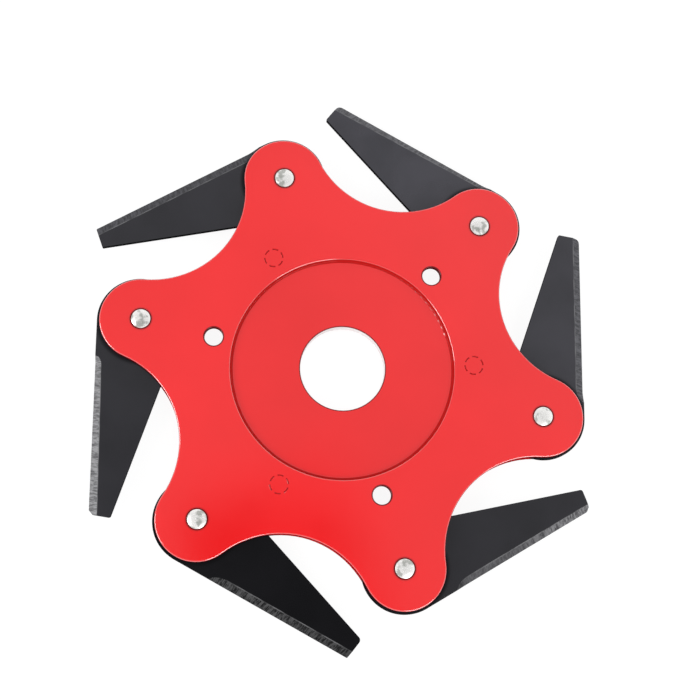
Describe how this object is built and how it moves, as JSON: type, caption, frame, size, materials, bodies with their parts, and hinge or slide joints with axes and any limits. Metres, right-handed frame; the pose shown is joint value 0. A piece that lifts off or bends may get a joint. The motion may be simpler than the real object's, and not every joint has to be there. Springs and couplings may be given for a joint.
{
  "type": "brushcutter disc with swinging knives",
  "caption": "Lobed steel disc for a brushcutter with tapered knives that swing on rivets at its lobes, and a round centre bore.",
  "frame": {"origin": "on the bore axis, in the plane where the hubs of the two discs touch", "axes": "+Z along the bore out of the upper disc, +X through the pivot of knife 1"},
  "size_m": [0.1617, 0.1655, 0.0076],
  "materials": {
    "red_enamel": "glossy red stoving enamel",
    "black_steel": "black finish, satin, on the ground bevel too",
    "bright_rivet": "bright zinc",
    "painted_pin": "painted over with the discs"
  },
  "bodies": {
    "carrier": {"upper_disc": "red_enamel", "lower_disc": "red_enamel", "rivet_1": "bright_rivet", "rivet_2": "bright_rivet", "rivet_3": "bright_rivet", "rivet_4": "bright_rivet", "rivet_5": "bright_rivet", "rivet_6": "bright_rivet", "spacer_pin_1": "painted_pin", "spacer_pin_2": "painted_pin", "spacer_pin_3": "painted_pin"},
    "swing_knife_1": {"knife_1": "black_steel"},
    "swing_knife_2": {"knife_2": "black_steel"},
    "swing_knife_3": {"knife_3": "black_steel"},
    "swing_knife_4": {"knife_4": "black_steel"},
    "swing_knife_5": {"knife_5": "black_steel"},
    "swing_knife_6": {"knife_6": "black_steel"}
  },
  "joints": [
    {"name": "knife_1_swing", "type": "hinge", "parent": "carrier", "child": "swing_knife_1", "pos_m": [0.06175, 0, 0], "axis": [0, 0, 1], "range_deg": [-116.9, 11.6]},
    {"name": "knife_2_swing", "type": "hinge", "parent": "carrier", "child": "swing_knife_2", "pos_m": [0.03087, -0.05348, 0], "axis": [0, 0, 1], "range_deg": [-118.2, 10.3]},
    {"name": "knife_3_swing", "type": "hinge", "parent": "carrier", "child": "swing_knife_3", "pos_m": [-0.03087, -0.05348, 0], "axis": [0, 0, 1], "range_deg": [-116.9, 11.6]},
    {"name": "knife_4_swing", "type": "hinge", "parent": "carrier", "child": "swing_knife_4", "pos_m": [-0.06175, 0, 0], "axis": [0, 0, 1], "range_deg": [-117.9, 10.6]},
    {"name": "knife_5_swing", "type": "hinge", "parent": "carrier", "child": "swing_knife_5", "pos_m": [-0.03087, 0.05348, 0], "axis": [0, 0, 1], "range_deg": [-118.7, 9.8]},
    {"name": "knife_6_swing", "type": "hinge", "parent": "carrier", "child": "swing_knife_6", "pos_m": [0.03087, 0.05348, 0], "axis": [0, 0, 1], "range_deg": [-117.5, 11]}
  ]
}
